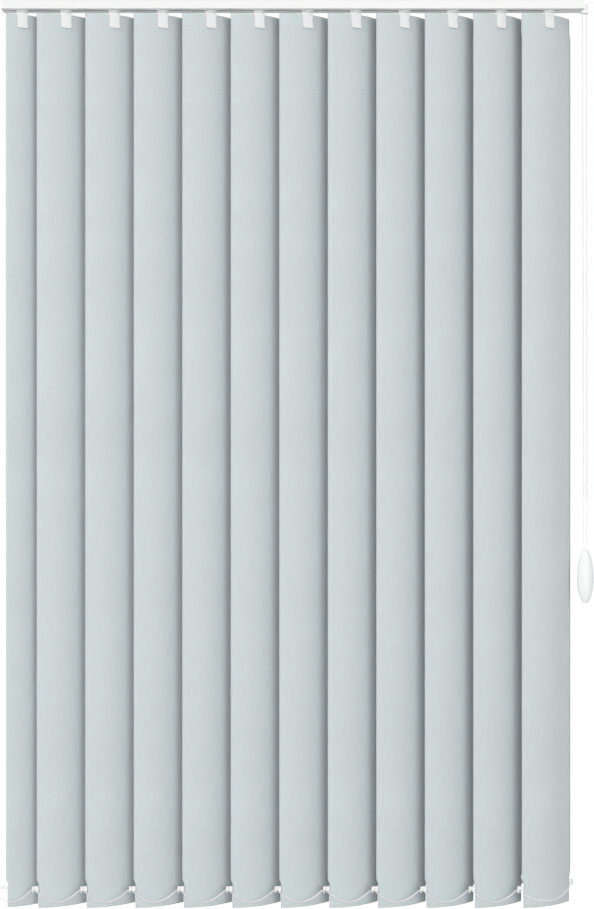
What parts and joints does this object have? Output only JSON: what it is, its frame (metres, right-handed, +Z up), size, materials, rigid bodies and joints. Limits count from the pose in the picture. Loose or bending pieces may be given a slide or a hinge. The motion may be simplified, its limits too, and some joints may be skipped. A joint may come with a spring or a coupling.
{
  "type": "vertical blind",
  "caption": "Corded vertical blind: curved fabric vanes on hooks under a slim white headrail, with a bottom chain and a weighted control cord.",
  "frame": {"origin": "middle of the ceiling plane that the brackets are screwed to", "axes": "+X along the rail towards the control end, +Y towards the window, +Z up"},
  "size_m": [1.3138, 0.0646, 1.974],
  "materials": {
    "rail": "satin white powder coat",
    "plastic": "satin white moulding",
    "fabric": "pale grey-blue stiffened weave",
    "weight": "white coated steel",
    "bracket": "zinc plated",
    "rod": "mill finish",
    "cord": "white braided polyester"
  },
  "bodies": {
    "root": {"headrail": "rail", "return_end_cap": "plastic", "control_end_cap": "plastic", "ceiling_brackets": "bracket", "rail_cord": "cord", "control_cord": "cord", "cord_weight": "plastic", "carrier_12": "plastic"},
    "tilt_rod": {"tilt_rod": "rod"},
    "cord_wheel": {"cord_wheel": "plastic"},
    "chain_front": {"bottom_chain_front": "plastic"},
    "chain_back": {"bottom_chain_back": "plastic"},
    "carriage_01": {"carrier_01": "plastic"},
    "carriage_02": {"carrier_02": "plastic"},
    "carriage_03": {"carrier_03": "plastic"},
    "carriage_04": {"carrier_04": "plastic"},
    "carriage_05": {"carrier_05": "plastic"},
    "carriage_06": {"carrier_06": "plastic"},
    "carriage_07": {"carrier_07": "plastic"},
    "carriage_08": {"carrier_08": "plastic"},
    "carriage_09": {"carrier_09": "plastic"},
    "carriage_10": {"carrier_10": "plastic"},
    "carriage_11": {"carrier_11": "plastic"},
    "vane_01": {"hook_01": "plastic", "vane_01": "fabric", "bottom_weight_01": "weight"},
    "vane_02": {"hook_02": "plastic", "vane_02": "fabric", "bottom_weight_02": "weight"},
    "vane_03": {"hook_03": "plastic", "vane_03": "fabric", "bottom_weight_03": "weight"},
    "vane_04": {"hook_04": "plastic", "vane_04": "fabric", "bottom_weight_04": "weight"},
    "vane_05": {"hook_05": "plastic", "vane_05": "fabric", "bottom_weight_05": "weight"},
    "vane_06": {"hook_06": "plastic", "vane_06": "fabric", "bottom_weight_06": "weight"},
    "vane_07": {"hook_07": "plastic", "vane_07": "fabric", "bottom_weight_07": "weight"},
    "vane_08": {"hook_08": "plastic", "vane_08": "fabric", "bottom_weight_08": "weight"},
    "vane_09": {"hook_09": "plastic", "vane_09": "fabric", "bottom_weight_09": "weight"},
    "vane_10": {"hook_10": "plastic", "vane_10": "fabric", "bottom_weight_10": "weight"},
    "vane_11": {"hook_11": "plastic", "vane_11": "fabric", "bottom_weight_11": "weight"},
    "vane_12": {"hook_12": "plastic", "vane_12": "fabric", "bottom_weight_12": "weight", "bottom_chain_tail": "plastic"}
  },
  "joints": [
    {"name": "traverse", "type": "slide", "parent": "root", "child": "carriage_01", "axis": [1, 0, 0], "range_m": [0, 0.7328], "deforming": ["bottom_chain_front", "bottom_chain_back"]},
    {"name": "traverse_02", "type": "slide", "parent": "root", "child": "carriage_02", "axis": [1, 0, 0], "range_m": [0, 0.673]},
    {"name": "traverse_03", "type": "slide", "parent": "root", "child": "carriage_03", "axis": [1, 0, 0], "range_m": [0, 0.6058]},
    {"name": "traverse_04", "type": "slide", "parent": "root", "child": "carriage_04", "axis": [1, 0, 0], "range_m": [0, 0.5386]},
    {"name": "traverse_05", "type": "slide", "parent": "root", "child": "carriage_05", "axis": [1, 0, 0], "range_m": [0, 0.4714]},
    {"name": "traverse_06", "type": "slide", "parent": "root", "child": "carriage_06", "axis": [1, 0, 0], "range_m": [0, 0.4042]},
    {"name": "traverse_07", "type": "slide", "parent": "root", "child": "carriage_07", "axis": [1, 0, 0], "range_m": [0, 0.337]},
    {"name": "traverse_08", "type": "slide", "parent": "root", "child": "carriage_08", "axis": [1, 0, 0], "range_m": [0, 0.2698]},
    {"name": "traverse_09", "type": "slide", "parent": "root", "child": "carriage_09", "axis": [1, 0, 0], "range_m": [0, 0.2026]},
    {"name": "traverse_10", "type": "slide", "parent": "root", "child": "carriage_10", "axis": [1, 0, 0], "range_m": [0, 0.1354]},
    {"name": "traverse_11", "type": "slide", "parent": "root", "child": "carriage_11", "axis": [1, 0, 0], "range_m": [0, 0.0682]},
    {"name": "tilt_01", "type": "hinge", "parent": "carriage_01", "child": "vane_01", "pos_m": [-0.588, 0, -0.05], "axis": [0, 0, 1], "range_deg": [0, 130]},
    {"name": "tilt_02", "type": "hinge", "parent": "carriage_02", "child": "vane_02", "pos_m": [-0.493, 0, -0.05], "axis": [0, 0, 1], "range_deg": [0, 130]},
    {"name": "tilt_03", "type": "hinge", "parent": "carriage_03", "child": "vane_03", "pos_m": [-0.388, 0, -0.05], "axis": [0, 0, 1], "range_deg": [0, 130]},
    {"name": "tilt_04", "type": "hinge", "parent": "carriage_04", "child": "vane_04", "pos_m": [-0.283, 0, -0.05], "axis": [0, 0, 1], "range_deg": [0, 130]},
    {"name": "tilt_05", "type": "hinge", "parent": "carriage_05", "child": "vane_05", "pos_m": [-0.178, 0, -0.05], "axis": [0, 0, 1], "range_deg": [0, 130]},
    {"name": "tilt_06", "type": "hinge", "parent": "carriage_06", "child": "vane_06", "pos_m": [-0.073, 0, -0.05], "axis": [0, 0, 1], "range_deg": [0, 130]},
    {"name": "tilt_07", "type": "hinge", "parent": "carriage_07", "child": "vane_07", "pos_m": [0.032, 0, -0.05], "axis": [0, 0, 1], "range_deg": [0, 130]},
    {"name": "tilt_08", "type": "hinge", "parent": "carriage_08", "child": "vane_08", "pos_m": [0.137, 0, -0.05], "axis": [0, 0, 1], "range_deg": [0, 130]},
    {"name": "tilt_09", "type": "hinge", "parent": "carriage_09", "child": "vane_09", "pos_m": [0.242, 0, -0.05], "axis": [0, 0, 1], "range_deg": [0, 130]},
    {"name": "tilt_10", "type": "hinge", "parent": "carriage_10", "child": "vane_10", "pos_m": [0.347, 0, -0.05], "axis": [0, 0, 1], "range_deg": [0, 130]},
    {"name": "tilt_11", "type": "hinge", "parent": "carriage_11", "child": "vane_11", "pos_m": [0.452, 0, -0.05], "axis": [0, 0, 1], "range_deg": [0, 130]},
    {"name": "tilt", "type": "hinge", "parent": "root", "child": "vane_12", "pos_m": [0.557, 0, -0.05], "axis": [0, 0, 1], "range_deg": [0, 130]},
    {"name": "chain_front_swing", "type": "hinge", "parent": "vane_12", "child": "chain_front", "pos_m": [0.48772, -0.01658, -1.935], "axis": [0, 0, 1], "range_deg": [-130, 0]},
    {"name": "chain_back_swing", "type": "hinge", "parent": "vane_12", "child": "chain_back", "pos_m": [0.61424, 0.04241, -1.935], "axis": [0, 0, 1], "range_deg": [-130, 0]},
    {"name": "rod_spin", "type": "hinge", "parent": "root", "child": "tilt_rod", "pos_m": [0, -0.0095, -0.0139], "axis": [1, 0, 0], "range_deg": [0, 1040]},
    {"name": "cord_wheel_spin", "type": "hinge", "parent": "root", "child": "cord_wheel", "pos_m": [0.634, 0, -0.022], "axis": [0, 1, 0], "range_deg": [0, 9229]}
  ],
  "couplings": [
    {"joint": "traverse_02", "follows": "traverse", "ratio": 0.91703},
    {"joint": "traverse_03", "follows": "traverse", "ratio": 0.82533},
    {"joint": "traverse_04", "follows": "traverse", "ratio": 0.73362},
    {"joint": "traverse_05", "follows": "traverse", "ratio": 0.64192},
    {"joint": "traverse_06", "follows": "traverse", "ratio": 0.55022},
    {"joint": "traverse_07", "follows": "traverse", "ratio": 0.45852},
    {"joint": "traverse_08", "follows": "traverse", "ratio": 0.36681},
    {"joint": "traverse_09", "follows": "traverse", "ratio": 0.27511},
    {"joint": "traverse_10", "follows": "traverse", "ratio": 0.18341},
    {"joint": "traverse_11", "follows": "traverse", "ratio": 0.091703},
    {"joint": "tilt_01", "follows": "tilt", "ratio": 1},
    {"joint": "tilt_02", "follows": "tilt", "ratio": 1},
    {"joint": "tilt_03", "follows": "tilt", "ratio": 1},
    {"joint": "tilt_04", "follows": "tilt", "ratio": 1},
    {"joint": "tilt_05", "follows": "tilt", "ratio": 1},
    {"joint": "tilt_06", "follows": "tilt", "ratio": 1},
    {"joint": "tilt_07", "follows": "tilt", "ratio": 1},
    {"joint": "tilt_08", "follows": "tilt", "ratio": 1},
    {"joint": "tilt_09", "follows": "tilt", "ratio": 1},
    {"joint": "tilt_10", "follows": "tilt", "ratio": 1},
    {"joint": "tilt_11", "follows": "tilt", "ratio": 1},
    {"joint": "chain_front_swing", "follows": "tilt", "ratio": -1},
    {"joint": "chain_back_swing", "follows": "tilt", "ratio": -1},
    {"joint": "rod_spin", "follows": "tilt", "ratio": 8},
    {"joint": "cord_wheel_spin", "follows": "traverse", "rad_per_m": 219.78}
  ]
}
